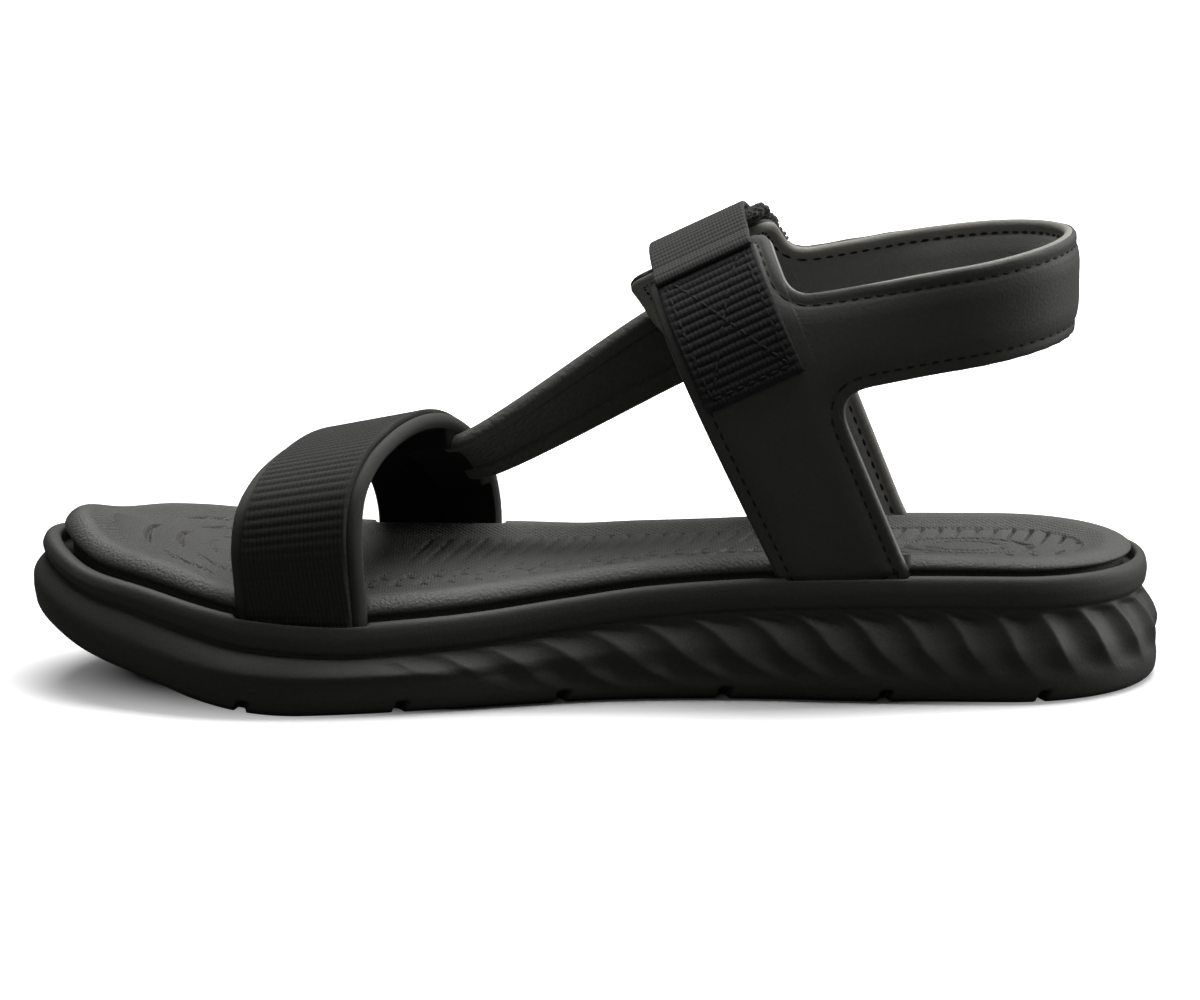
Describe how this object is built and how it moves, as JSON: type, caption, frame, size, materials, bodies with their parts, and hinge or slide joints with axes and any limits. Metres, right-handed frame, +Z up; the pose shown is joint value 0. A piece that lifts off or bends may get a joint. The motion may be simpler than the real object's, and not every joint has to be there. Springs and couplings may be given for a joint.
{
  "type": "strappy sport sandal",
  "caption": "Open sport sandal for a right foot: moulded sole and footbed, webbing strap over the forefoot, instep strap, padded heel band and a hook-and-loop closure.",
  "frame": {"origin": "on the ground under the middle of the sandal's bounding box", "axes": "+X from toe to heel, +Y to the outer (lateral) side of the foot, +Z up; right foot"},
  "size_m": [0.265, 0.094, 0.1105],
  "materials": {
    "outsole": "matte",
    "midsole": "matte",
    "shank": "matte",
    "footbed": "satin",
    "forefoot_sleeve": "matte",
    "forefoot_padding": "matte",
    "forefoot_webbing": "matte",
    "instep_sleeve": "matte",
    "instep_padding": "matte",
    "instep_webbing": "matte",
    "quarter_lining": "matte",
    "quarter_padding": "matte",
    "quarter_outer": "matte",
    "closure_anchor": "matte",
    "closure_stitch": "matte",
    "loop_tape": "matte",
    "hook_tape": "matte",
    "closure_flap": "matte"
  },
  "bodies": {
    "sandal": {"outsole": "outsole", "midsole": "midsole", "shank": "shank", "footbed": "footbed", "forefoot_sleeve": "forefoot_sleeve", "forefoot_padding": "forefoot_padding", "forefoot_webbing": "forefoot_webbing", "instep_sleeve": "instep_sleeve", "instep_padding": "instep_padding", "instep_webbing": "instep_webbing", "quarter_lining": "quarter_lining", "quarter_padding": "quarter_padding", "quarter_outer": "quarter_outer", "closure_anchor": "closure_anchor", "closure_stitch": "closure_stitch", "loop_tape": "loop_tape"},
    "flap": {"closure_flap": "closure_flap", "hook_tape": "hook_tape"}
  },
  "joints": [
    {"name": "closure_open", "type": "hinge", "parent": "sandal", "child": "flap", "pos_m": [0.02296, -0.00974, 0.10015], "axis": [0.9009, -0.0551, 0.4305], "range_deg": [0, 130]}
  ]
}
